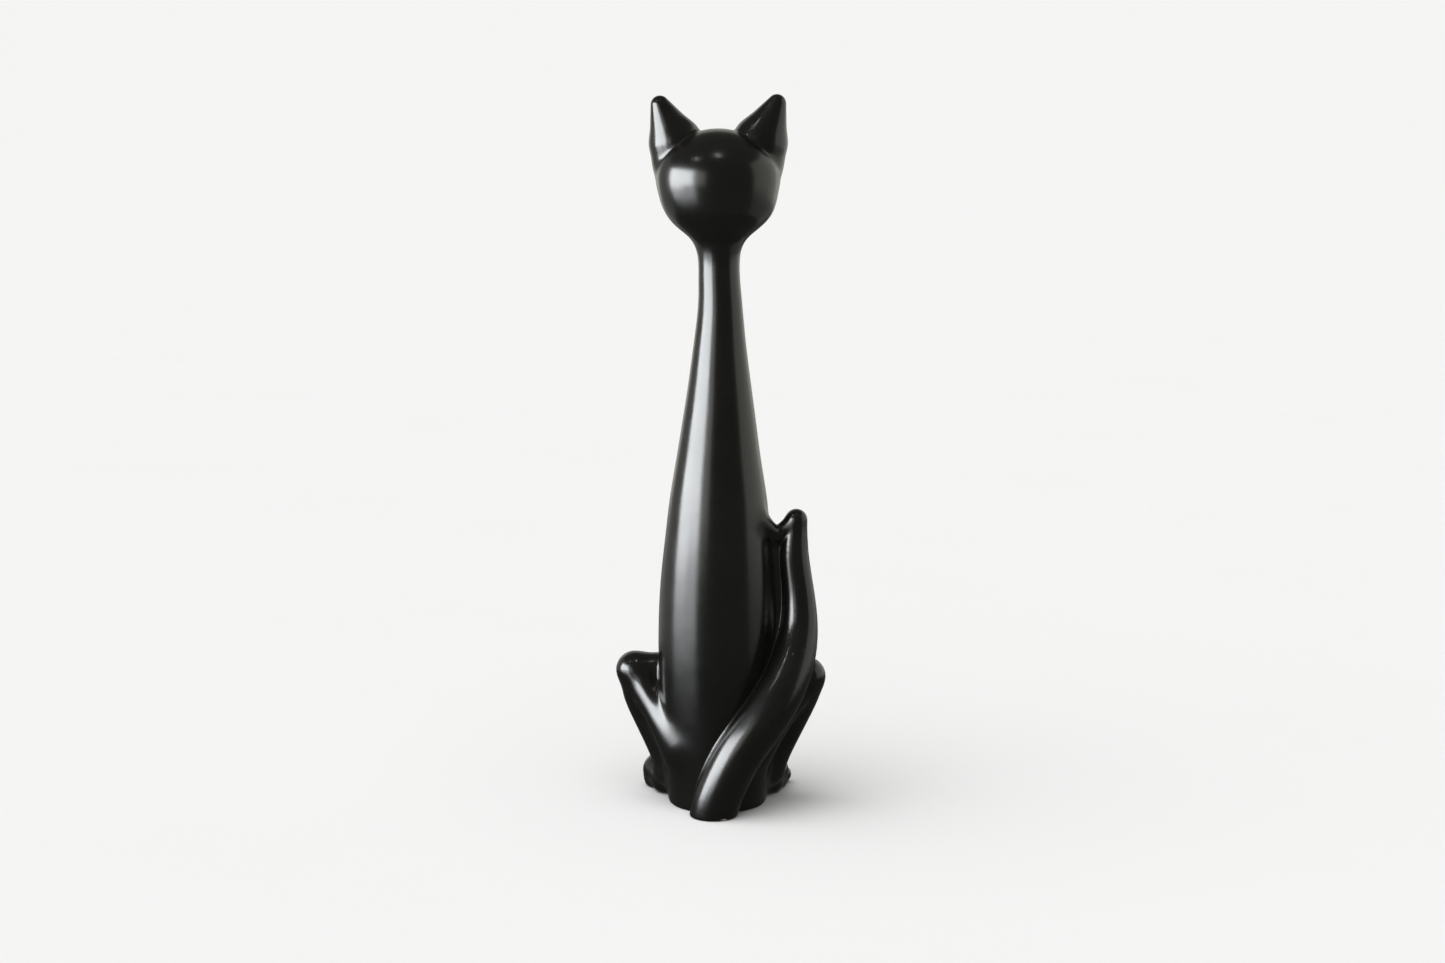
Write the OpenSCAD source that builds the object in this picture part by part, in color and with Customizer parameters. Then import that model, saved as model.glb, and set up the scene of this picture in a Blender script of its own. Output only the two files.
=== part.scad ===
// A tall, long-necked sitting cat in black glazed ceramic.
// Every part is a separate hollow casting or a solid pressing, luted to its neighbours face to face.
// Frame: +Z up, the cat faces -Y, the origin is the middle of the footprint on the table.
// The cat's own right is -X, and its tail lies on that side.

/* [Figure] */
// Height from the table to the ear tips
figure_h = 325; // [260:1:400]
// Width of the torso at its widest
torso_w = 54.4; // [48:0.1:60]
// Width of the neck at its narrowest
neck_w = 18.8; // [16:0.1:22]
// Width of the head below the ears
head_w = 55.4; // [48:0.1:60]
// Width across both knees
haunch_span = 99; // [90:0.1:104]

/* [Casting] */
// Wall of the hollow castings
wall = 4.6; // [4:0.1:6]
// Gap that the slip fills between a spigot or disc and its seat
slip_gap = 0.2; // [0.1:0.05:0.4]
// Radius of the vent hole in the base disc
vent_r = 5; // [4:0.5:7]
// Radius of the base disc
base_disc_r = 14; // [12:0.5:15]

/* [Detail] */
// Sides of the torso and head
body_sides = 40; // [32:4:48]
// Rings up the torso
torso_rings = 44; // [36:2:56]
// Sides of the round limbs and the tail
limb_sides = 20; // [16:4:24]

/* [Hidden] */

GLAZE = "#15161a";
BISQUE = "#c9b48f";

// The heights below are for a figure of this height, and stretch with it.
drawn_h = 325;
sz = figure_h / drawn_h;
// Larger than the whole figure.
far = 400;

// The head is cast apart from the neck and joins it at this drawn height.
neck_z = 250;
neck_y = 1;
neck_half_d = 9.6;
spigot_h = 5;
spigot_wall = 2.2;
floor_h = 5;
disc_recess = 1;
disc_h = 4;
// Cutting bodies run past the face that they cut by this much.
past = 1;

// Torso stations: height, half width as a share of the widest, middle in depth, half depth.
TORSO = [
    [  0, 0.830,  0.0, 23.5],
    [ 12, 0.875,  0.0, 24.4],
    [ 30, 0.935,  0.0, 25.4],
    [ 50, 0.985,  0.0, 26.0],
    [ 78, 1.000, -0.5, 26.2],
    [100, 0.965, -0.5, 25.2],
    [125, 0.900,  0.0, 23.5],
    [145, 0.818,  0.4, 21.8],
    [165, 0.703,  0.8, 18.8],
    [188, 0.576,  1.0, 15.6],
    [210, 0.464,  neck_y, 12.7],
    [232, 0.379,  neck_y, 10.5],
    [neck_z, neck_w / torso_w, neck_y, neck_half_d]
];

// Head: an egg, drawn from its middle, that the throat flares into at this angle below it.
head_y = -2;
head_z = 287.5;
head_up = 22.7;
head_down = 27;
head_back = 24;
head_front = 25;
throat_turn = -50;

// Round limbs and the tail: x, y, z, radius along each one, on the cat's left, or on its right for the tail.
knee_r = 8;
KNEE  = [haunch_span / 2 - knee_r, -10, 58.5, knee_r];
HIP   = [18, 0, 54.5, 15];
RUMP  = [13, 6, 16, 14];
ANKLE = [21.6, -9, 15.5, 8];
HEEL  = [24, -11, 5, 6.5];
TOES  = [27.6, -28, 4.5, 7.8];
FORELEG = [[10, -17, 112, 7.5], [10.5, -21, 88, 7.5], [10.2, -25, 58, 6.6], [9.6, -28, 26, 6.2],
           [9.6, -31, 9, 7], [9.6, -35, 4.5, 7]];
TAIL = [[1.2, 25.7, 4, 10.9], [-7.8, 26.5, 26, 10.8], [-18, 25, 41, 10.9], [-27.5, 20.5, 55, 10.6],
        [-34.3, 12.5, 70, 9.8], [-37.2, 6, 87, 8.4], [-36.4, 3.5, 105, 6.9], [-35.5, 3, 121, 5.8],
        [-36, 3, 133.2, 4.8]];
tail_steps = 16;
// The egg's rings stop this close to its poles, which are then flat.
egg_rings = 16;
egg_end = 84;
// The throat's rings, by their turn from the neck.
THROAT_TURNS = [0, 18, 36, 54, 72];
// Rings and sides of the head's hollow, and sides of the round bores, the disc and the ear's scoop.
hollow_rings = 12;
hollow_sides = 24;
bore_sides = 32;
disc_sides = 64;
scoop_sides = 32;
// The web beside the tail reaches this share of the way out from the torso's axis.
web_reach = 0.74;
web_thick = 0.62;
// The front paws and the tail reach these depths, and the footprint is centred between them.
paw_reach = 41.9;
tail_reach = 37.2;
body_y = (paw_reach - tail_reach) / 2;

// Ear, on the cat's left, and the ball that scoops out its front.
EAR_TIP  = [26.9, -1, 321.85, 3.2];
EAR_SIDE = [26.2, -1, 310, 5];
EAR_IN   = [12.5, -1, 306.5, 5.4];
EAR_OUT  = [22.4, 0, 293, 6.6];
EAR_BACK = [18.5, 4, 300, 6];
ear_scoop = [22, -21, 308, 17];

// Muzzle: bridge, nose, chin and cheek balls, the cheek on the cat's left.
BRIDGE = [0, -20, 291, 7];
NOSE   = [0, -26, 281.5, 4.5];
CHIN   = [0, -20, 272.5, 6];
CHEEK  = [6.5, -20.5, 278, 7];

function mix(a, b, t) = a + (b - a) * t;
function last(v) = len(v) - 1;

// A smooth curve through rows of numbers whose first entry rises, read at that entry's value x.
function slope(rows, i) =
    let (a = rows[max(i - 1, 0)], b = rows[min(i + 1, last(rows))]) (b - a) / (b[0] - a[0]);
function segment(rows, x, i = 0) = (i >= last(rows) - 1 || x < rows[i + 1][0]) ? i : segment(rows, x, i + 1);
function read_curve(rows, x) =
    let (i = segment(rows, x), a = rows[i], b = rows[i + 1], h = b[0] - a[0], t = (x - a[0]) / h)
    a * (1 + 2 * t) * (1 - t) * (1 - t) + slope(rows, i) * h * t * (1 - t) * (1 - t)
    + b * t * t * (3 - 2 * t) + slope(rows, i + 1) * h * t * t * (t - 1);

// A smooth curve through points at even steps, read at a share u of its length.
function pass_through(pts, u) =
    let (s = min(u, 0.99999) * last(pts), i = floor(s), t = s - i,
         p = pts[max(i - 1, 0)], a = pts[i], b = pts[i + 1], q = pts[min(i + 2, last(pts))])
    0.5 * (2 * a + (b - p) * t + (2 * p - 5 * a + 4 * b - q) * t * t + (3 * a - p - 3 * b + q) * t * t * t);

function ring(half_w, half_d, mid_y, z, sides) =
    [for (k = [0 : sides - 1]) [half_w * cos(360 * k / sides), mid_y + half_d * sin(360 * k / sides), z]];

// A closed solid through rings of points, each of the same count, from the bottom up.
module loft(rings) {
    n = len(rings[0]);
    m = len(rings);
    walls = [for (j = [0 : m - 2]) for (k = [0 : n - 1])
        [j * n + k, j * n + (k + 1) % n, (j + 1) * n + (k + 1) % n, (j + 1) * n + k]];
    ends = [[for (k = [n - 1 : -1 : 0]) k], [for (k = [0 : n - 1]) (m - 1) * n + k]];
    polyhedron(points = [for (r = rings) each r],
               faces = [for (f = concat(ends, walls)) [for (i = [last(f) : -1 : 0]) f[i]]]);
}

// A free-form node comes out as one mesh, so that luted faces match exactly.
module one_mesh() {
    resize([0, 0, 0]) children();
}

module ball(p, fn = limb_sides) {
    translate([p[0], p[1], p[2] * sz]) sphere(r = p[3], $fn = fn);
}

module above_table() {
    intersection() {
        children();
        translate([-far / 2, -far / 2, 0]) cube(far);
    }
}

module on_left() { translate([0, body_y, 0]) children(); }
module on_right() { translate([0, body_y, 0]) mirror([1, 0, 0]) children(); }

// Torso and neck, full or shrunk by the wall to make its hollow.
module torso_form(inset = 0, from_z = 0, rings = torso_rings, sides = body_sides) {
    loft([for (j = [0 : rings]) let (z = mix(from_z, neck_z, j / rings), s = read_curve(TORSO, z))
        ring(s[1] * torso_w / 2 - inset, s[3] - inset, s[2], z * sz, sides)]);
}

// A round bar or bore on the neck's axis, from just below the neck joint to a height h above it.
module at_neck(r, h) {
    translate([0, neck_y, neck_z * sz - past]) cylinder(r = r, h = h + past, $fn = bore_sides);
}

module torso_hollow() {
    torso_form(wall, floor_h, round(torso_rings / 2), hollow_sides);
    at_neck(neck_w / 2 - wall, spigot_h + past);
    translate([0, -body_y, -past]) cylinder(r = base_disc_r + slip_gap, h = floor_h + 2 * past, $fn = disc_sides);
}

// A level section of the head at an angle a up from its middle: half width, half depth to the back,
// half depth to the front, middle in depth, and drawn height.
function head_section(a, inset = 0) =
    [(head_w / 2 - inset) * cos(a), (head_back - inset) * cos(a), (head_front - inset) * cos(a),
     head_y, head_z + ((a > 0 ? head_up : head_down) - inset) * sin(a)];

// The throat's section at a turn of 0 at the neck to 90 where it meets the head.
function throat_section(turn) =
    let (neck = [neck_w / 2, neck_half_d, neck_half_d, neck_y, neck_z], jaw = head_section(throat_turn),
         s = mix(neck, jaw, 1 - cos(turn)))
    [s[0], s[1], s[2], s[3], mix(neck[4], jaw[4], sin(turn))];

function head_ring(s, sides) =
    [for (k = [0 : sides - 1]) let (b = 360 * k / sides)
        [s[0] * cos(b), s[3] + (sin(b) > 0 ? s[1] : s[2]) * sin(b), s[4] * sz]];

module head_form() {
    throat = [for (turn = THROAT_TURNS) throat_section(turn)];
    egg = [for (j = [0 : egg_rings]) head_section(mix(throat_turn, egg_end, j / egg_rings))];
    loft([for (s = concat(throat, egg)) head_ring(s, body_sides)]);
}

module head_hollow() {
    loft([for (j = [0 : hollow_rings])
        head_ring(head_section(mix(-egg_end, egg_end, j / hollow_rings), wall), hollow_sides)]);
}

module muzzle() {
    hull() {
        ball(BRIDGE);
        ball(NOSE);
        ball(CHIN);
        ball(CHEEK);
        mirror([1, 0, 0]) ball(CHEEK);
    }
}

module head_solid() {
    head_form();
    muzzle();
}

module torso_shell() {
    color(GLAZE) one_mesh() translate([0, body_y, 0]) difference() {
        union() {
            torso_form();
            at_neck(neck_w / 2 - wall + spigot_wall, spigot_h);
        }
        torso_hollow();
    }
}

module head_shell() {
    color(GLAZE) one_mesh() translate([0, body_y, 0]) difference() {
        head_solid();
        head_hollow();
        at_neck(neck_w / 2 - wall, head_down);
        at_neck(neck_w / 2 - wall + spigot_wall + slip_gap, spigot_h + slip_gap);
    }
}

module ear() {
    difference() {
        hull() {
            ball(EAR_TIP);
            ball(EAR_SIDE);
            ball(EAR_IN);
            ball(EAR_OUT);
            ball(EAR_BACK);
        }
        ball(ear_scoop, scoop_sides);
        head_form();
    }
}

module haunch_form() {
    above_table() union() {
        hull() {
            ball(KNEE);
            ball(HIP);
            ball(ANKLE);
        }
        hull() {
            ball(HIP);
            ball(RUMP);
            ball(ANKLE);
        }
    }
}

module haunch() {
    difference() {
        haunch_form();
        torso_form();
    }
}

module hind_foot_form() {
    above_table() hull() {
        ball(HEEL);
        ball(TOES);
    }
}

module hind_foot() {
    difference() {
        hind_foot_form();
        haunch_form();
        torso_form();
    }
}

module foreleg() {
    difference() {
        above_table() for (i = [0 : last(FORELEG) - 1]) hull() {
            ball(FORELEG[i]);
            ball(FORELEG[i + 1]);
        }
        torso_form();
        haunch_form();
        hind_foot_form();
        translate([-far, -far / 2, 0]) cube(far);
    }
}

function web_point(p) = [p[0] * web_reach, p[1] * web_reach, p[2], p[3] * web_thick];

module tail_form() {
    above_table() for (i = [0 : tail_steps - 1]) {
        p = pass_through(TAIL, i / tail_steps);
        q = pass_through(TAIL, (i + 1) / tail_steps);
        hull() {
            ball(p);
            ball(q);
            ball(web_point(p));
            if (i < tail_steps - 1) ball(web_point(q));
        }
    }
}

module tail() {
    color(GLAZE) one_mesh() translate([0, body_y, 0]) difference() {
        tail_form();
        torso_form();
        haunch_form();
        mirror([1, 0, 0]) haunch_form();
    }
}

module left_ear() { color(GLAZE) one_mesh() on_left() ear(); }
module right_ear() { color(GLAZE) one_mesh() on_right() ear(); }
module left_haunch() { color(GLAZE) one_mesh() on_left() haunch(); }
module right_haunch() { color(GLAZE) one_mesh() on_right() haunch(); }
module left_hind_foot() { color(GLAZE) one_mesh() on_left() hind_foot(); }
module right_hind_foot() { color(GLAZE) one_mesh() on_right() hind_foot(); }
module left_foreleg() { color(GLAZE) one_mesh() on_left() foreleg(); }
module right_foreleg() { color(GLAZE) one_mesh() on_right() foreleg(); }

// The disc that closes the foot, set in from the table, with the vent hole.
module base_disc() {
    color(BISQUE) translate([0, 0, disc_recess]) difference() {
        cylinder(r = base_disc_r, h = disc_h, $fn = disc_sides);
        translate([0, 0, -past]) cylinder(r = vent_r, h = disc_h + 2 * past, $fn = disc_sides);
    }
}

torso_shell();
head_shell();
left_ear();
right_ear();
left_haunch();
right_haunch();
left_hind_foot();
right_hind_foot();
left_foreleg();
right_foreleg();
tail();
base_disc();
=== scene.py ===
"""The looks of a tall ceramic cat in black satin-gloss glaze.

The whole cat is one smooth sculpt, written below as signed distances in drawn millimetres: x to the
cat's left, y behind the torso's axis, z up from the table. Its head and its body are each meshed as a
whole, and then cut along their creases into the pieces that the real cat is luted from, one for each
CAD node.
"""

import math

import bpy
import numpy as np
import openvdb
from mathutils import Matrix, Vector


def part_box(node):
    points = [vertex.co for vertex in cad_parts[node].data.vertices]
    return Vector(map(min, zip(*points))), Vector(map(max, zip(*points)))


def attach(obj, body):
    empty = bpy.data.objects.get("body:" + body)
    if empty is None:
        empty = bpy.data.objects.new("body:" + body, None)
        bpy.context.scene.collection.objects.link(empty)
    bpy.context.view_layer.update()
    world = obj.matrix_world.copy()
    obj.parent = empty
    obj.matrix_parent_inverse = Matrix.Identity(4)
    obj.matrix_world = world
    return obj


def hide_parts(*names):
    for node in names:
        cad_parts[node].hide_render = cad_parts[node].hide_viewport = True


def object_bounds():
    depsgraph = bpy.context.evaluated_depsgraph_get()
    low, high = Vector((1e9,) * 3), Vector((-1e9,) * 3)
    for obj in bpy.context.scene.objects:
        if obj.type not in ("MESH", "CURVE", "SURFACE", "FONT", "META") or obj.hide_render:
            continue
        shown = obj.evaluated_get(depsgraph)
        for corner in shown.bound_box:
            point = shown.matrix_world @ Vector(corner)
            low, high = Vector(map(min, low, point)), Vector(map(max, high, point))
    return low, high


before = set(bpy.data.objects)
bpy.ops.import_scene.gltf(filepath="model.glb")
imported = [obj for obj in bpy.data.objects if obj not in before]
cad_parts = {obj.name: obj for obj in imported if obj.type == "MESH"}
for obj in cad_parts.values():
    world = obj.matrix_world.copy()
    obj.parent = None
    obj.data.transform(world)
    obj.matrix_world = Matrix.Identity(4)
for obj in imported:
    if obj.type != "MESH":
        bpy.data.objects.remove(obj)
CAD_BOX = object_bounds()

# ---------------------------------------------------------------- the frame, and how the sculpt sits in it

DRAWN_HEIGHT = 325.0
TORSO_BACK = 25.85  # how far the drawn torso reaches behind its own axis
MM = (CAD_BOX[1].z - CAD_BOX[0].z) / DRAWN_HEIGHT  # metres in one drawn millimetre
AXIS_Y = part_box("torso_shell")[1].y / MM - TORSO_BACK
NECK_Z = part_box("head_shell")[0].z / MM
SPIGOT_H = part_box("torso_shell")[1].z / MM - NECK_Z
FAR = 500.0  # larger than the whole cat


def in_frame(point):
    """A drawn point, or an array of them, in metres in the shared frame."""
    return (np.asarray(point, float) + (0, AXIS_Y, 0)) * MM


# ---------------------------------------------------------------- drawn sizes

WALL = 4.6
FLOOR_Z = 5.0
MIRROR = np.array([-1.0, 1.0, 1.0])
NECK_MIDDLE = (0.0, 1.0)
NECK_BORE = 4.8
SPIGOT_R = 7.0
SLIP_GAP = 0.2
DISC_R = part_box("base_disc")[1].x / MM
DISC_Z = (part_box("base_disc")[0].z / MM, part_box("base_disc")[1].z / MM)
VENT_R = 5.0
LUTE_DEPTH = 1.2  # how far a luted piece bites into what it stands on
OWN_REACH = 4.0  # how far outside its own form a piece can own a fillet
HOLLOW_CELL = 1.8  # the mesh's spacing inside the castings
CUT = 2  # the slot of faces made by a cut, after glaze and bisque
CUT_ORDER = ["tail", "left_hind_foot", "right_hind_foot", "left_foreleg", "right_foreleg",
             "left_haunch", "right_haunch"]

# The trunk, from the foot up to the jaw: height, half width, half depth, and the place of its middle,
# sideways and in depth.
TRUNK = [
    (-10, 22.0, 22.8, 0.3, 0.0),
    (0, 22.6, 23.4, 0.4, 0.0),
    (14, 24.0, 24.5, 0.5, 0.0),
    (34, 25.6, 25.6, 0.6, 0.0),
    (58, 26.8, 26.1, 0.6, -0.2),
    (84, 27.0, 26.1, 0.6, -0.4),
    (104, 26.1, 25.3, 0.5, -0.4),
    (128, 23.9, 23.2, 0.1, 0.1),
    (142, 22.4, 21.6, -0.1, 0.3),
    (160, 19.6, 19.1, -0.2, 0.6),
    (179, 16.75, 16.7, -0.5, 0.8),
    (197, 14.15, 14.3, -0.7, 1.0),
    (215, 11.8, 12.1, -0.8, 1.0),
    (234, 9.9, 10.3, -0.9, 1.0),
    (245, 9.4, 9.7, -0.5, 1.0),
    (252, 9.5, 9.8, -0.4, 0.9),
    (257, 10.5, 10.7, -0.3, 0.7),
    (262, 13.6, 13.2, -0.3, 0.1),
    (266.5, 18.9, 17.6, -0.3, -0.8),
    (271, 23.1, 21.3, -0.4, -1.6),
    (276, 25.6, 23.3, -0.3, -2.1),
    (282, 27.0, 24.3, -0.1, -2.4),
    (288, 27.6, 24.6, 0.0, -2.5),
    (293, 27.1, 24.0, 0.0, -2.5),
    (298, 24.6, 21.6, 0.0, -2.5),
    (303, 19.0, 16.5, 0.0, -2.5),
]
JAW_TOP = 302.0  # the trunk's own form ends here, inside the head

HEAD_MID = np.array([0.0, -2.0, 287.5])
HEAD_W, HEAD_UP, HEAD_DOWN, HEAD_BACK, HEAD_FRONT = 27.2, 23.1, 27.0, 24.0, 25.0
HEAD_BLEND = 2.0

# The face's forms: a middle and three radii for each ellipsoid, and two balls for each cone.
CHEEK = (12.0, -17.0, 279.0), (9.0, 8.5, 7.5)
MUZZLE = (3.4, -23.8, 278.0), (5.2, 5.6, 4.4)
BRIDGE = (0, -21.5, 294.0, 3.4), (0, -27.4, 282.4, 2.5)
CHIN = (0, -23.2, 272.6), (4.6, 4.2, 3.2)
EYE_SOCKET = (10.8, -28.0, 289.0), (6.6, 4.6, 3.8)
EYE = (10.8, -21.6, 289.0), (5.4, 3.5, 3.3)
EYE_TURN = -14
NOSE = (0, -29.0, 282.0), (2.7, 1.9, 1.6)
LIP_CLEFT = (0, -31.0, 280.2, 0.5), (0, -30.0, 276.8, 0.5)
LIP_LINE = (0, -30.0, 276.8, 0.5), (5.2, -27.6, 275.2, 0.4)
MIRROR_EASE = 0.04  # softens the fold where the face's halves meet

# Every limb point is x, y, z, radius, and the right side's are given as if on the left.
# Each ear is a run of cones from its tip down into the head, cut flat and scooped out in front.
EAR_ROOT = [(16.7, -6.6, 296.0, 12.8), (15.3, -5.4, 288.0, 12.7)]
LEFT_EAR = [(26.1, -1.2, 321.0, 4.2), (19.1, -5.9, 304.0, 11.8)] + EAR_ROOT
RIGHT_EAR = [(26.4, -1.2, 321.6, 4.2), (18.9, -5.9, 304.3, 12.2)] + EAR_ROOT
EAR_SCOOP = [(25.4, -8.6, 317.0, 2.4), (21.5, -13.6, 309.0, 6.4), (18.5, -17.0, 300.0, 9.0)]
EAR_FRONT = -9.5  # the flat front's place in depth
EAR_BLEND = 2.2

# Each haunch: the leg from knee to heel, joined to the rump and the hip, with clay filling the calf.
RUMP = (17.0, 8.0, 28.0, 8.6)
HIP = (17.0, -10.0, 61.0, 7.9)
CALF = [(31.5, -11.5, 48.0, 6.2), (21.0, -10.5, 33.0, 8.6)]
LEFT_LEG = [
    (39.2, -10.0, 60.2, 7.3),
    (37.6, -10.4, 51.2, 7.5),
    (34.1, -11.5, 41.0, 7.5),
    (24.6, -10.5, 21.0, 7.8),
    (23.0, -10.0, 12.0, 7.8),
]
RIGHT_LEG = [
    (41.4, -10.0, 57.0, 7.6),
    (40.5, -10.4, 51.2, 7.8),
    (36.3, -11.5, 41.0, 7.9),
    (26.9, -10.5, 22.0, 7.9),
    (23.8, -10.0, 12.0, 7.8),
]

# Each hind foot runs from heel to toes.
LEFT_FOOT = [(24.5, -14.0, 6.0, 7.2), (28.2, -24.5, 8.0, 7.2), (28.0, -25.5, 3.8, 7.5)]
RIGHT_FOOT = [(23.6, -13.0, 6.0, 7.2), (25.8, -23.0, 7.4, 7.2), (25.7, -24.0, 3.8, 7.3)]
HIND_TOES = [(22.2, -31.0, 3.9, 3.8), (26.8, -32.6, 4.2, 4.1), (31.3, -30.4, 4.0, 3.8)]

# Each foreleg runs from the chest down to the paw.
FORELEG = [
    (10.0, -16.5, 112.0, 7.2),
    (10.6, -20.5, 90.0, 7.5),
    (10.3, -24.5, 60.0, 6.7),
    (9.8, -28.0, 28.0, 6.1),
    (9.8, -30.5, 10.0, 6.6),
    (9.8, -32.5, 5.4, 6.6),
]
FRONT_TOES = [(6.2, -36.4, 3.7, 3.5), (10.0, -36.9, 3.9, 3.6), (13.7, -36.2, 3.7, 3.4)]

# The tail's own middle line, from its root on the table to its tip.
TAIL = [
    (2.6, 25.0, -6.0, 10.8),
    (0.8, 25.8, 6.0, 10.9),
    (-7.8, 26.2, 26.0, 11.0),
    (-18.0, 25.0, 41.0, 10.9),
    (-27.7, 20.5, 55.0, 10.6),
    (-34.6, 12.5, 70.0, 9.8),
    (-37.3, 6.2, 86.0, 8.5),
    (-36.4, 3.9, 103.0, 7.3),
    (-34.8, 3.0, 118.0, 6.8),
    (-35.9, 3.0, 133.2, 5.0),
]
TAIL_SAMPLES = 48  # straight pieces that stand in for the tail's line
LIMB_SAMPLES = 16  # and for a leg's
TAIL_BLEND = 1.8

# The web, a wall from the tail in towards the torso, with a V-shaped rim.
WEB_TOP = 122.0
WEB_FOOT = 66.0
WEB_HALF = 2.8  # half its thickness
WEB_REACH = 0.62  # its inner edge, as a share of the tail's distance from the middle
WEB_BLEND = 9.0
WEB_RIM = [(-35.5, 3.0, 132.5, 4.8), (-27.4, 4.5, 126.4, 3.0), (-19.5, 9.5, 134.0, 2.4)]

# The chip in the glaze at the tail's foot, and where the glaze stops.
CHIP = np.array([-3.8, 36.2, 0.0])
CHIP_SIZE = np.array([2.8, 1.7, 1.4])
BARE_FOOT = 0.12  # no glaze below this height
BARE_CHIP = 0.05  # nor this close to the chip


# ---------------------------------------------------------------- smooth shapes


def smooth_min(a, b, k):
    """The union of two distances, with a fillet about k across."""
    h = np.maximum(k - np.abs(a - b), 0) / k
    return np.minimum(a, b) - h**3 * k / 6


def smooth_max(a, b, k):
    return -smooth_min(-a, -b, k)


def ease(x, low, high):
    """0 below low, 1 above high, and smooth between."""
    t = np.clip((x - low) / (high - low), 0, 1)
    return t * t * (3 - 2 * t)


def spline(knots, rows):
    """A smooth curve through rows of numbers: read(at) gives its row, or its slope, at any knot value."""
    x, y = np.array(knots, float), np.array(rows, float)
    h, rise = np.diff(x), np.diff(y, axis=0)
    system, wanted = np.zeros((len(x), len(x))), np.zeros_like(y)
    for i in range(1, len(x) - 1):
        system[i, i - 1 : i + 2] = 1 / h[i - 1], 2 / h[i - 1] + 2 / h[i], 1 / h[i]
        wanted[i] = 3 * (rise[i - 1] / h[i - 1] ** 2 + rise[i] / h[i] ** 2)
    system[0, :2], wanted[0] = (2, 1), 3 * rise[0] / h[0]
    system[-1, -2:], wanted[-1] = (1, 2), 3 * rise[-1] / h[-1]
    m = np.linalg.solve(system, wanted)

    def read(at, slope=False):
        at = np.clip(np.asarray(at, float), x[0], x[-1])
        i = np.clip(np.searchsorted(x, at, side="right") - 1, 0, len(x) - 2)
        t = ((at - x[i]) / h[i])[..., None]
        step = h[i][..., None]
        if slope:
            return ((6 * t * t - 6 * t) * (y[i] - y[i + 1]) / step
                    + (3 * t * t - 4 * t + 1) * m[i] + (3 * t * t - 2 * t) * m[i + 1])
        return ((1 + 2 * t) * (1 - t) ** 2 * y[i] + t * (1 - t) ** 2 * step * m[i]
                + t * t * (3 - 2 * t) * y[i + 1] + t * t * (t - 1) * step * m[i + 1])

    return read


def length(v):
    return np.sqrt((v * v).sum(1))


def ellipsoid(p, middle, radii, turn=0.0):
    """turn is in degrees about the y axis, positive towards the cat's left side going down."""
    q = p - middle
    if turn:
        c, s = math.cos(math.radians(turn)), math.sin(math.radians(turn))
        q = np.stack([q[:, 0] * c - q[:, 2] * s, q[:, 1], q[:, 0] * s + q[:, 2] * c], 1)
    k0 = length(q / radii)
    k1 = length(q / np.square(radii))
    return k0 * (k0 - 1) / np.maximum(k1, 1e-6)


def bone(p, a, b):
    """A cone that touches two balls all round, with round ends."""
    a, b = np.array(a), np.array(b)
    along, gap = b[:3] - a[:3], p - a[:3]
    run = math.sqrt(along @ along)
    sine = (b[3] - a[3]) / run
    level = gap @ along / run
    out = np.sqrt(np.maximum(np.einsum("ij,ij->i", gap, gap) - level**2, 0))
    t = np.clip((level + out * sine / math.sqrt(1 - sine**2)) / run, 0, 1)
    return length(gap - t[:, None] * along) - (a[3] + t * (b[3] - a[3]))


def limb(p, balls, k):
    d = bone(p, balls[0], balls[1])
    for a, b in zip(balls[1:], balls[2:]):
        d = smooth_min(d, bone(p, a, b), k)
    return d


# ---------------------------------------------------------------- the cat's parts

read_trunk = spline([row[0] for row in TRUNK], [row[1:] for row in TRUNK])
TAIL_LINE = spline(range(len(TAIL)), TAIL)(np.linspace(0, len(TAIL) - 1, TAIL_SAMPLES))


def tube(p, rows, samples):
    """A round tube along the smooth line through rows. The nearest of the straight pieces between samples
    gives the turn of the line that a point is measured from."""
    read = spline(range(len(rows)), rows)
    turns = np.linspace(0, len(rows) - 1, samples)
    line = read(turns)
    best, turn = np.full(len(p), np.inf), np.zeros(len(p))
    for i in range(samples - 1):
        a, along = line[i, :3], line[i + 1, :3] - line[i, :3]
        gap = p - a
        t = np.clip(gap @ along / (along @ along), 0, 1)
        gap -= t[:, None] * along
        d = np.einsum("ij,ij->i", gap, gap)
        closer = d < best
        best[closer] = d[closer]
        turn[closer] = turns[i] + t[closer] * (turns[i + 1] - turns[i])
    spot = read(turn)
    return length(p - spot[:, :3]) - spot[:, 3]


def torso(p):
    s, slope = read_trunk(p[:, 2]), read_trunk(p[:, 2], slope=True)
    x, y = p[:, 0] - s[:, 2], p[:, 1] - s[:, 3]
    k0 = np.hypot(x / s[:, 0], y / s[:, 1])
    k1 = np.hypot(x / s[:, 0] ** 2, y / s[:, 1] ** 2)
    level = k0 * (k0 - 1) / np.maximum(k1, 1e-6)
    return level / np.sqrt(1 + slope[:, 0] ** 2)


def egg(p):
    q = p - HEAD_MID
    radii = np.empty_like(q)
    radii[:, 0] = HEAD_W
    radii[:, 1] = np.where(q[:, 1] > 0, HEAD_BACK, HEAD_FRONT)
    radii[:, 2] = np.where(q[:, 2] > 0, HEAD_UP, HEAD_DOWN)
    k0, k1 = length(q / radii), length(q / radii**2)
    return k0 * (k0 - 1) / np.maximum(k1, 1e-6)


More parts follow.
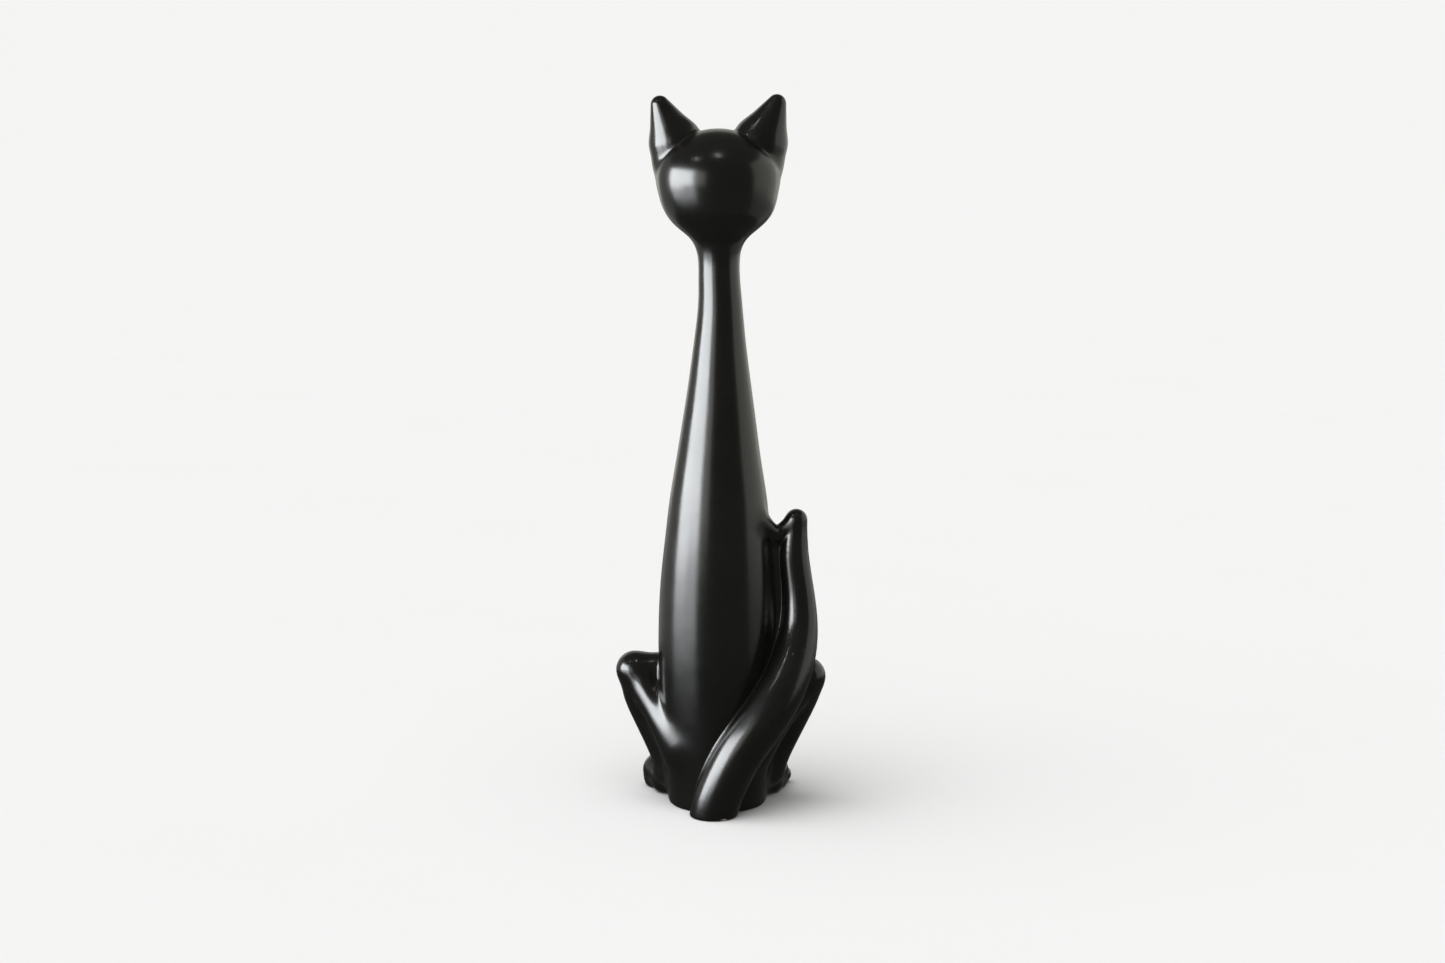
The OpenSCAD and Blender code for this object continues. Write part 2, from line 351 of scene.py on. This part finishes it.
def face(p, d):
    """The head's front: a calm, plain cat's face, drawn on its left half and mirrored."""
    q = p.copy()
    q[:, 0] = np.sqrt(q[:, 0] ** 2 + MIRROR_EASE)
    d = smooth_min(d, ellipsoid(q, *CHEEK), 7)
    d = smooth_min(d, ellipsoid(q, *MUZZLE), 5)
    d = smooth_min(d, bone(q, *BRIDGE), 8)
    d = smooth_min(d, ellipsoid(q, *CHIN), 4)
    d = smooth_max(d, -ellipsoid(q, *EYE_SOCKET, EYE_TURN), 4)
    d = smooth_min(d, ellipsoid(q, *EYE, EYE_TURN), 0.7)
    d = smooth_min(d, ellipsoid(q, *NOSE), 1.0)
    mouth = np.minimum(bone(q, *LIP_CLEFT), bone(q, *LIP_LINE))
    return smooth_max(d, -mouth, 0.8)


def skull(p):
    """The head without its ears, on the top of the neck."""
    d = smooth_min(smooth_max(torso(p), p[:, 2] - JAW_TOP, 1), egg(p), HEAD_BLEND)
    front = (p[:, 1] < 2) & (p[:, 2] > 258)
    if front.any():
        d[front] = face(p[front], d[front])
    return d


def ear(p, balls):
    d = smooth_max(limb(p, balls, 3), EAR_FRONT - p[:, 1], 3)
    return smooth_max(d, -limb(p, EAR_SCOOP, 4), 2)


def haunch(p, leg):
    d = smooth_min(bone(p, leg[0], RUMP), tube(p, leg, LIMB_SAMPLES), 4)
    d = smooth_min(d, limb(p, CALF, 1), 4)
    return smooth_min(d, bone(p, leg[0], HIP), 6)


def paw(p, d, toes):
    """Adds toes to a leg's field d."""
    for toe in toes:
        d = smooth_min(d, ellipsoid(p, toe[:3], (toe[3], toe[3] * 1.35, toe[3])), 1.4)
    return d


def hind_foot(p, balls):
    return paw(p, limb(p, balls, 4), HIND_TOES)


def foreleg(p, balls):
    return paw(p, tube(p, balls, LIMB_SAMPLES), FRONT_TOES)


def tail(p, rows):
    return tube(p, rows, TAIL_SAMPLES)


def web(p):
    """The thin wall between the upper tail and the torso, level by level."""
    heights = TAIL_LINE[:, 2]
    x = np.interp(p[:, 2], heights, TAIL_LINE[:, 0])
    y = np.interp(p[:, 2], heights, TAIL_LINE[:, 1])
    outer = np.stack([x, y], 1)
    inner = outer * WEB_REACH
    along = outer - inner
    t = np.clip(((p[:, :2] - inner) * along).sum(1) / (along * along).sum(1), 0, 1)
    across = length(p[:, :2] - inner - t[:, None] * along)
    above = np.maximum(p[:, 2] - WEB_TOP, 0) + np.maximum(WEB_FOOT - p[:, 2], 0)
    return smooth_min(np.hypot(across, above) - WEB_HALF, limb(p, WEB_RIM, 2), 3)


# Each part's field, its points, the box that it is worked out in, and whether it is on the right.
SHAPES = {
    "left_ear": (ear, LEFT_EAR, (6, -16, 282), (34, 8, 328), False),
    "right_ear": (ear, RIGHT_EAR, (6, -16, 282), (34, 8, 328), True),
    "left_haunch": (haunch, LEFT_LEG, (0, -20, 4), (51, 24, 72), False),
    "right_haunch": (haunch, RIGHT_LEG, (0, -20, 4), (51, 24, 72), True),
    "left_hind_foot": (hind_foot, LEFT_FOOT, (14, -38, -4), (38, -2, 17), False),
    "right_hind_foot": (hind_foot, RIGHT_FOOT, (14, -38, -4), (38, -2, 17), True),
    "left_foreleg": (foreleg, FORELEG, (1, -44, -2), (20, -6, 122), False),
    "right_foreleg": (foreleg, FORELEG, (1, -44, -2), (20, -6, 122), True),
    "tail": (tail, TAIL, (-48, -8, -8), (14, 38, 140), False),
}
REACH = 16.0  # no blend is wider than this


def within(p, low, high, margin):
    return ((p > np.array(low) - margin) & (p < np.array(high) + margin)).all(1)


def shape(p, name):
    """One part's distance, worked out only near the part."""
    field, points, low, high, mirrored = SHAPES[name]
    q = p * MIRROR if mirrored else p
    d = np.full(len(p), REACH * 2)
    near = within(q, low, high, REACH)
    if near.any():
        d[near] = field(q[near], points)
    return d


def upper(p):
    """The head and ears on the top of the neck."""
    d = skull(p)
    for name in ("left_ear", "right_ear"):
        d = smooth_min(d, shape(p, name), EAR_BLEND)
    return d


def lower(p):
    """Everything below the head."""
    d = torso(p)
    z = p[:, 2]
    crease = 2.2 + 10.0 * (1 - ease(z, 30, 66))
    for side in ("left_", "right_"):
        d = smooth_min(d, shape(p, side + "haunch"), crease)
    for side in ("left_", "right_"):
        d = smooth_min(d, shape(p, side + "foreleg"), 2.5 + 5 * ease(z, 60, 110))
        d = smooth_min(d, shape(p, side + "hind_foot"), 1.8)
    near = within(p, *SHAPES["tail"][2:4], REACH)
    if near.any():
        d[near] = smooth_min(d[near], web(p[near]), WEB_BLEND)
    d = smooth_min(d, shape(p, "tail"), TAIL_BLEND)
    d = smooth_max(d, -z, 1.6)
    return smooth_max(d, -ellipsoid(p, CHIP, CHIP_SIZE), 0.3)


# ---------------------------------------------------------------- meshing


def refine(coarse, counts, steps):
    """Coarse samples, made fine along each axis by straight lines between them."""
    for axis, n in enumerate(counts):
        at = np.arange(n) / steps
        i = np.minimum(at.astype(int), coarse.shape[axis] - 2)
        f = (at - i).astype(np.float32).reshape([-1 if a == axis else 1 for a in range(3)])
        coarse = np.take(coarse, i, axis) * (1 - f) + np.take(coarse, i + 1, axis) * f
    return coarse


def lattice(low, counts, spacing):
    """The points of a regular grid, one row each."""
    axes = [low[a] + spacing * np.arange(counts[a]) for a in range(3)]
    return np.stack(np.meshgrid(*axes, indexing="ij"), -1).reshape(-1, 3)


def surface(field, low, high, cell, steps=4):
    """Points and quads of the surface where the field is zero, in drawn millimetres."""
    low, high = np.array(low, float), np.array(high, float)
    rough = cell * steps
    counts = np.ceil((high - low) / rough).astype(int) + 1
    coarse = field(lattice(low, counts, rough)).reshape(counts).astype(np.float32)
    fine_counts = (counts - 1) * steps + 1
    fine = refine(coarse, fine_counts, steps)
    near = np.abs(fine) < 1.1 * rough + 2 * cell
    index = np.argwhere(near)
    fine[near] = field(low + index * cell)
    grid = openvdb.FloatGrid(rough)
    grid.copyFromArray(np.clip(fine, -rough, rough), tolerance=0)
    points, quads = grid.convertToQuads(0)
    return low + points.astype(float) * cell, quads.astype(int)


def gradient(field, p, step=0.05):
    """The field's slope at each point, by central differences."""
    g = np.empty_like(p)
    for axis in range(3):
        shift = np.zeros(3)
        shift[axis] = step
        g[:, axis] = (field(p + shift) - field(p - shift)) / (2 * step)
    return g


def settle(field, p, most=0.4, rounds=3):
    """Moves points onto the surface."""
    for _ in range(rounds):
        g = gradient(field, p)
        d = field(p)
        move = -d[:, None] * g / np.maximum((g * g).sum(1), 0.05)[:, None]
        size = length(move)[:, None]
        p = p + move * np.minimum(1, most / np.maximum(size, 1e-9))
    return p


def mesh_object(name, points, faces, slots=(0,)):
    """A mesh in drawn millimetres. slots gives each face's place in the list of materials."""
    mesh = bpy.data.meshes.new(name)
    mesh.from_pydata(np.asarray(points, float).tolist(), [], [list(map(int, f)) for f in faces])
    for material in (glaze, bisque, cut_clay):
        mesh.materials.append(material)
    slots = np.resize(np.asarray(slots, np.int32), len(mesh.polygons))
    mesh.polygons.foreach_set("material_index", slots)
    mesh.update()
    obj = bpy.data.objects.new(name, mesh)
    bpy.context.scene.collection.objects.link(obj)
    return obj


def solid(name, field, low, high, cell, slot=CUT, steps=4):
    """A closed mesh of the space where the field is below zero, with faces that point outwards."""
    points, quads = surface(field, low, high, cell, steps)
    close = np.abs(field(points)) < 2 * cell
    points[close] = settle(field, points[close])
    a, b, c, d = (points[quads[:, i]] for i in range(4))
    if (np.cross(c - a, d - b) * (a + b + c + d)).sum() < 0:
        quads = quads[:, ::-1]
    return mesh_object(name, points, quads, [slot])


def lathe(name, profile, middle, sides=128):
    """A closed turned shape: profile runs round its section, as radius and height, anticlockwise."""
    turn = np.arange(sides) * 2 * math.pi / sides
    points = [(middle[0] + r * math.cos(t), middle[1] + r * math.sin(t), z)
              for r, z in profile for t in turn]
    n, faces = len(profile), []
    for j in range(n):
        here, up = j * sides, (j + 1) % n * sides
        for i in range(sides):
            k = (i + 1) % sides
            faces.append((here + i, here + k, up + k, up + i))
    return mesh_object(name, points, faces, [CUT])


def bar(name, radius, bottom, top, middle, sides=128):
    """A closed round bar."""
    turn = np.arange(sides) * 2 * math.pi / sides
    points = [(middle[0] + radius * math.cos(t), middle[1] + radius * math.sin(t), z)
              for z in (bottom, top) for t in turn]
    walls = [(i, (i + 1) % sides, sides + (i + 1) % sides, sides + i) for i in range(sides)]
    ends = [tuple(range(sides))[::-1], tuple(range(sides, 2 * sides))]
    return mesh_object(name, points, walls + ends, [CUT])


def carve(body, tool, operation):
    """body with tool taken away, kept or added. Returns a new mesh and leaves body as it was."""
    modifier = body.modifiers.new("carve", "BOOLEAN")
    modifier.operation, modifier.object, modifier.solver = operation, tool, "MANIFOLD"
    scene = bpy.context.evaluated_depsgraph_get()
    mesh = bpy.data.meshes.new_from_object(body.evaluated_get(scene))
    body.modifiers.remove(modifier)
    return mesh


def discard(obj):
    """Removes an object and its mesh."""
    mesh = obj.data
    bpy.data.objects.remove(obj)
    bpy.data.meshes.remove(mesh)


def cut_off(body, tool, name):
    """Parts the piece inside tool from body, as a new object of that name."""
    piece = bpy.data.objects.new(name, carve(body, tool, "INTERSECT"))
    bpy.context.scene.collection.objects.link(piece)
    old, body.data = body.data, carve(body, tool, "DIFFERENCE")
    bpy.data.meshes.remove(old)
    discard(tool)
    return piece


def alter(body, tool, operation):
    """Takes tool away from body, keeps it or adds it, and uses it up."""
    old, body.data = body.data, carve(body, tool, operation)
    bpy.data.meshes.remove(old)
    discard(tool)


def box_solid(name, low, high):
    """A closed box between two corners."""
    (x0, y0, z0), (x1, y1, z1) = low, high
    points = [(x, y, z) for z in (z0, z1) for y in (y0, y1) for x in (x0, x1)]
    faces = [(0, 2, 3, 1), (4, 5, 7, 6), (0, 1, 5, 4), (2, 6, 7, 3), (0, 4, 6, 2), (1, 3, 7, 5)]
    return mesh_object(name, points, faces, [CUT])


# ---------------------------------------------------------------- cutting the cat into its pieces


def owned(name, parts, base):
    """The field of the space that a part owns: nearer to it than to any other, and not deep in the base."""
    def field(p):
        mine = shape(p, name)
        if name == "tail":
            mine = np.minimum(mine, web(p))
        others = base(p)
        deep = -(others + LUTE_DEPTH)
        for other in parts:
            if other != name:
                others = np.minimum(others, shape(p, other))
        return np.maximum(np.maximum(mine - others, mine - OWN_REACH), deep)
    return field


def part_off(body, parts, base, cell):
    """Cuts the named parts off body one after another, and gives them back as a list."""
    pieces = []
    for name in parts:
        _, _, low, high, mirrored = SHAPES[name]
        low, high = np.array(low, float) - OWN_REACH - 1, np.array(high, float) + OWN_REACH + 1
        if mirrored:
            low[0], high[0] = -high[0], -low[0]
        tool = solid(name + "_tool", owned(name, parts, base), low, high, cell)
        pieces.append(cut_off(body, tool, name))
    return pieces


def shade(obj, field):
    """Exact normals on the cat's own skin, flat ones on cut faces, and the last move into the frame."""
    mesh = obj.data
    points = np.empty(len(mesh.vertices) * 3)
    mesh.vertices.foreach_get("co", points)
    points = points.reshape(-1, 3)
    corner = np.empty(len(mesh.loops), int)
    mesh.loops.foreach_get("vertex_index", corner)
    counts = np.empty(len(mesh.polygons), int)
    mesh.polygons.foreach_get("loop_total", counts)
    slots = np.empty(len(mesh.polygons), int)
    mesh.polygons.foreach_get("material_index", slots)
    flat = np.empty(len(mesh.polygons) * 3)
    mesh.polygons.foreach_get("normal", flat)
    flat = np.repeat(flat.reshape(-1, 3), counts, 0)
    skin = np.repeat(slots < CUT, counts)
    used = np.zeros(len(points), bool)
    used[corner[skin]] = True
    normal = np.zeros_like(points)
    g = gradient(field, points[used])
    normal[used] = g / np.maximum(length(g), 1e-9)[:, None]
    normals = np.where(skin[:, None], normal[corner], flat)
    mesh.polygons.foreach_set("use_smooth", np.ones(len(counts), bool))
    mesh.polygons.foreach_set("material_index", np.minimum(slots, 1).astype(np.int32))
    mesh.materials.pop(index=2)
    mesh.vertices.foreach_set("co", in_frame(points).astype(np.float32).ravel())
    mesh.update()
    mesh.normals_split_custom_set(normals.tolist())


def foot_slots(obj):
    """Wipes the glaze from what stands on the table and from the chip."""
    mesh = obj.data
    middle = np.empty(len(mesh.polygons) * 3)
    mesh.polygons.foreach_get("center", middle)
    middle = middle.reshape(-1, 3)
    bare = (middle[:, 2] < BARE_FOOT) | (ellipsoid(middle, CHIP, CHIP_SIZE) < BARE_CHIP)
    mesh.polygons.foreach_set("material_index", np.where(bare, 1, 0).astype(np.int32))
    mesh.update()


def head_hollow(p):
    return egg(p) + WALL


def torso_hollow(p):
    return smooth_max(torso(p) + WALL, FLOOR_Z - p[:, 2], 5)


def build_head(cell):
    body = solid("head_shell", upper, (-36, -38, NECK_Z - 3), (36, 28, 328), cell, slot=0)
    pieces = part_off(body, ["left_ear", "right_ear"], skull, cell * 2)
    alter(body, box_solid("above", (-FAR, -FAR, NECK_Z), (FAR, FAR, FAR)), "INTERSECT")
    hollow = solid("head_hollow", head_hollow, (-26, -28, 260), (26, 24, 308), HOLLOW_CELL)
    alter(body, hollow, "DIFFERENCE")
    alter(body, bar("throat_bore", NECK_BORE, NECK_Z - 1, NECK_Z + 16, NECK_MIDDLE), "DIFFERENCE")
    seat = bar("spigot_seat", SPIGOT_R + SLIP_GAP, NECK_Z - 1, NECK_Z + SPIGOT_H + SLIP_GAP, NECK_MIDDLE)
    alter(body, seat, "DIFFERENCE")
    return [body] + pieces


def build_body(cell):
    body = solid("torso_shell", lower, (-50, -45, -3), (50, 41, NECK_Z + 3), cell, slot=0)
    foot_slots(body)
    pieces = part_off(body, CUT_ORDER, torso, cell * 1.5)
    alter(body, box_solid("below", (-FAR, -FAR, -FAR), (FAR, FAR, NECK_Z)), "INTERSECT")
    hollow = solid("torso_hollow", torso_hollow, (-24, -24, 3), (24, 24, NECK_Z + 3), HOLLOW_CELL)
    alter(body, hollow, "DIFFERENCE")
    alter(body, bar("disc_seat", DISC_R + SLIP_GAP, -1, FLOOR_Z + 3, (0, -AXIS_Y)), "DIFFERENCE")
    spigot = [(NECK_BORE, NECK_Z + SPIGOT_H), (NECK_BORE, NECK_Z - 1), (SPIGOT_R, NECK_Z - 1),
              (SPIGOT_R, NECK_Z + SPIGOT_H - 0.6), (SPIGOT_R - 0.6, NECK_Z + SPIGOT_H)]
    alter(body, lathe("spigot", spigot, NECK_MIDDLE), "UNION")
    return [body] + pieces


def build_disc():
    """The clay disc that closes the foot, round its vent hole, with softened edges."""
    soft = 0.4
    low, high = DISC_Z
    profile = []
    for r, z, turn in ((DISC_R - soft, low + soft, -90), (DISC_R - soft, high - soft, 0),
                       (VENT_R + soft, high - soft, 90), (VENT_R + soft, low + soft, 180)):
        for step in range(5):
            t = math.radians(turn + step * 22.5)
            profile.append((r + soft * math.cos(t), z + soft * math.sin(t)))
    disc = lathe("base_disc", profile, (0, -AXIS_Y))
    disc.data.polygons.foreach_set("use_smooth", np.ones(len(disc.data.polygons), bool))
    points = np.array([v.co for v in disc.data.vertices])
    disc.data.vertices.foreach_set("co", in_frame(points).astype(np.float32).ravel())
    disc.data.polygons.foreach_set("material_index", np.ones(len(disc.data.polygons), np.int32))
    disc.data.materials.pop(index=2)
    disc.data.update()
    return disc


# ---------------------------------------------------------------- finishes


class Nodes:
    """Short hand for a material's nodes."""

    def __init__(self, name):
        self.material = bpy.data.materials.new(name)
        self.material.use_nodes = True
        self.tree = self.material.node_tree
        self.shader = self.tree.nodes["Principled BSDF"]

    def new(self, kind, **values):
        node = self.tree.nodes.new(kind)
        for key, value in values.items():
            if key in node.inputs:
                node.inputs[key].default_value = value
            else:
                setattr(node, key, value)
        return node

    def join(self, a, out, b, into):
        self.tree.links.new(a.outputs[out], b.inputs[into])

    def noise(self, size, detail=2.0, rough=0.5):
        """Noise over the object, with lumps of about that size in metres."""
        place = self.new("ShaderNodeTexCoord")
        noise = self.new("ShaderNodeTexNoise", Scale=1 / size, Detail=detail, Roughness=rough)
        self.join(place, "Object", noise, "Vector")
        return noise

    def remap(self, source, out, low, high, to_low, to_high):
        """A node's output, stretched from one range to another."""
        node = self.new("ShaderNodeMapRange")
        for key, value in zip(("From Min", "From Max", "To Min", "To Max"), (low, high, to_low, to_high)):
            node.inputs[key].default_value = value
        self.join(source, out, node, "Value")
        return node

    def tint(self, source, out, low, high):
        """Mixes two colours into the base colour by a node's output. The numbered sockets are for colours."""
        node = self.new("ShaderNodeMix", data_type="RGBA")
        node.inputs[6].default_value = (*low, 1)
        node.inputs[7].default_value = (*high, 1)
        self.tree.links.new(source.outputs[out], node.inputs[0])
        self.tree.links.new(node.outputs[2], self.shader.inputs["Base Color"])
        return node

    def bump(self, source, out, depth, under=None):
        """Relief of that depth in metres, on top of another bump."""
        node = self.new("ShaderNodeBump", Distance=depth, Strength=1.0)
        self.join(source, out, node, "Height")
        if under:
            self.join(under, "Normal", node, "Normal")
        return node


GLAZE_BLACKS = (0.0045, 0.0046, 0.0042), (0.0062, 0.0058, 0.0050)
GLAZE_ROUGHNESS = (0.20, 0.25)
GLAZE_IOR = 1.52
CLAY_BUFFS = (0.42, 0.33, 0.23), (0.62, 0.52, 0.40)


def make_glaze():
    """Black satin-gloss glaze, faintly clouded, with slow swells and a fine skin."""
    m = Nodes("glaze_black")
    m.shader.inputs["IOR"].default_value = GLAZE_IOR
    cloud = m.noise(0.035, 3)
    m.tint(m.remap(cloud, "Fac", 0.35, 0.65, 0, 1), "Result", *GLAZE_BLACKS)
    matt = m.noise(0.012, 4, 0.6)
    m.join(m.remap(matt, "Fac", 0.3, 0.7, *GLAZE_ROUGHNESS), "Result", m.shader, "Roughness")
    swell = m.bump(m.noise(0.009, 1.5), "Fac", 0.00004)
    grain = m.bump(m.noise(0.0011, 2), "Fac", 0.000006, swell)
    m.join(grain, "Normal", m.shader, "Normal")
    return m.material


def make_bisque(name):
    """Bare buff clay, gritty and dragged by the sponge."""
    m = Nodes(name)
    m.shader.inputs["Roughness"].default_value = 0.85
    grain = m.noise(0.0009, 5, 0.65)
    m.tint(m.remap(grain, "Fac", 0.3, 0.7, 0, 1), "Result", *CLAY_BUFFS)
    drag = m.bump(m.noise(0.004, 4), "Fac", 0.0002)
    grit = m.bump(m.noise(0.0005, 3, 0.7), "Fac", 0.00008, drag)
    m.join(grit, "Normal", m.shader, "Normal")
    return m.material


glaze = make_glaze()
bisque = make_bisque("bisque_clay")
cut_clay = make_bisque("cut_clay")


# ---------------------------------------------------------------- the studio


COOL = (0.95, 0.98, 1.0)
WARM = (1.0, 1.0, 0.91)
WASH_POWER, WASH_SPREAD = 3.28, 80  # the soft light that falls on the cloth
LAMP_SIZE, LAMP_POWER = 75, 1.1  # the ceiling lamps, two dots in the glaze
LAMP_AIM = (0, 0, 290)


def area_light(name, spot, aim, width, height, power, tone=WARM):
    """A panel that shows only in the glaze. Places are in drawn millimetres."""
    light = bpy.data.lights.new(name, "AREA")
    light.shape, light.size, light.size_y, light.energy = "RECTANGLE", width * MM, height * MM, power
    light.color = tone
    obj = bpy.data.objects.new(name, light)
    bpy.context.scene.collection.objects.link(obj)
    obj.location = in_frame(spot)
    obj.rotation_euler = (Vector(in_frame(aim)) - obj.location).to_track_quat("-Z", "Y").to_euler()
    obj.visible_camera = obj.visible_diffuse = False
    return obj


FLOOR_R = 60.0  # in metres, far past all that the camera sees
TABLE_R = 0.36  # how far the cloth round the cat shows in its glaze, in metres
TABLE_DROP = 0.0005  # how far that part lies below the floor, in metres


def cloth(name, radius, level, material):
    """A round sheet of the pale cloth, in metres."""
    n = 64
    turns = [2 * math.pi * i / n for i in range(n)]
    rim = [(radius * math.cos(t), radius * math.sin(t), level) for t in turns]
    mesh = bpy.data.meshes.new(name)
    mesh.from_pydata(rim, [], [tuple(range(n))])
    mesh.materials.append(material)
    obj = bpy.data.objects.new(name, mesh)
    bpy.context.scene.collection.objects.link(obj)
    return obj


def make_floor():
    m = Nodes("pale_cloth")
    m.shader.inputs["Roughness"].default_value = 0.9
    m.shader.inputs["Specular IOR Level"].default_value = 0.0
    m.tint(m.noise(0.25, 3), "Fac", (0.82, 0.82, 0.82), (0.84, 0.838, 0.836))
    floor = cloth("floor", FLOOR_R, 0, m.material)
    floor.visible_glossy = False
    near = cloth("cloth_near", TABLE_R, -TABLE_DROP, m.material)
    near.visible_camera = near.visible_diffuse = near.visible_shadow = False


def make_room():
    """The room's dim light, and the paler backdrop that only the camera sees."""
    world = bpy.data.worlds.new("room")
    bpy.context.scene.world = world
    world.use_nodes = True
    tree = world.node_tree
    room = tree.nodes["Background"]
    room.inputs["Color"].default_value = (0.115, 0.117, 0.11, 1)
    seen = tree.nodes.new("ShaderNodeBackground")
    seen.inputs["Color"].default_value = (0.91, 0.9115, 0.903, 1)
    path = tree.nodes.new("ShaderNodeLightPath")
    mix = tree.nodes.new("ShaderNodeMixShader")
    tree.links.new(path.outputs["Is Camera Ray"], mix.inputs[0])
    tree.links.new(room.outputs[0], mix.inputs[1])
    tree.links.new(seen.outputs[0], mix.inputs[2])
    tree.links.new(mix.outputs[0], tree.nodes["World Output"].inputs["Surface"])


def panel(name, bearing, width, low, high, glow, tone=WARM, distance=1500):
    """A tall light, placed as the head sees it: bearing and width in degrees round from the camera's side
    towards the cat's left, low and high in degrees above the head's level, and glow as its brightness."""
    bottom, top = (HEAD_MID[2] + distance * math.tan(math.radians(a)) for a in (low, high))
    across = 2 * distance * math.tan(math.radians(width / 2))
    turn = math.radians(bearing)
    spot = (distance * math.sin(turn), distance * math.cos(turn), (bottom + top) / 2)
    power = glow * math.pi * across * MM * (top - bottom) * MM
    return area_light(name, spot, (0, 0, (bottom + top) / 2), across, top - bottom, power, tone)


def make_lights():
    wash = bpy.data.lights.new("wash", "SUN")
    wash.energy, wash.angle = WASH_POWER, math.radians(WASH_SPREAD)
    obj = bpy.data.objects.new("wash", wash)
    bpy.context.scene.collection.objects.link(obj)
    obj.rotation_euler = (math.radians(-14), math.radians(14), 0)
    obj.visible_glossy = False
    panel("window", 68.5, 53, -7.5, 20, 17, COOL)
    panel("window_low", 80, 30, -9.5, -7.5, 17, COOL)
    panel("window_edge", 32, 20, -6, 18, 1.8)
    panel("window_sill", 66, 52, -19, -9.5, 5, COOL)
    panel("cloth_right", -105, 80, -12, 40, 0.85)
    panel("cloth_right_low", -105, 80, -40, -12, 0.25)
    panel("cloth_back", 180, 80, -12, 40, 0.6)
    panel("cloth_left", 130, 60, -30, 30, 0.35)
    for name, spot in (("lamp_one", (0, 870, 2090)), ("lamp_two", (1010, 780, 1840))):
        area_light(name, spot, LAMP_AIM, LAMP_SIZE, LAMP_SIZE, LAMP_POWER)


LENS = 54.8
CAMERA_SPOT = (-2, 1000, 291)
CAMERA_DOWN = 8  # degrees below level


def make_camera():
    bpy.context.scene.view_settings.view_transform = "Standard"
    data = bpy.data.cameras.new("camera")
    data.sensor_width, data.lens, data.clip_start = 36, LENS, 0.02
    obj = bpy.data.objects.new("camera", data)
    bpy.context.scene.collection.objects.link(obj)
    obj.location = in_frame(CAMERA_SPOT)
    obj.rotation_euler = (math.radians(90 - CAMERA_DOWN), 0, math.radians(180))
    bpy.context.scene.camera = obj


def finish_piece(obj, node):
    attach(obj, "root")
    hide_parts(node)


make_floor()
make_room()
make_lights()
make_camera()
head_cell, body_cell = ((0.45, 0.74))
for piece in build_head(head_cell):
    shade(piece, upper)
    finish_piece(piece, piece.name.split(".")[0])
for piece in build_body(body_cell):
    shade(piece, lower)
    finish_piece(piece, piece.name.split(".")[0])
finish_piece(build_disc(), "base_disc")
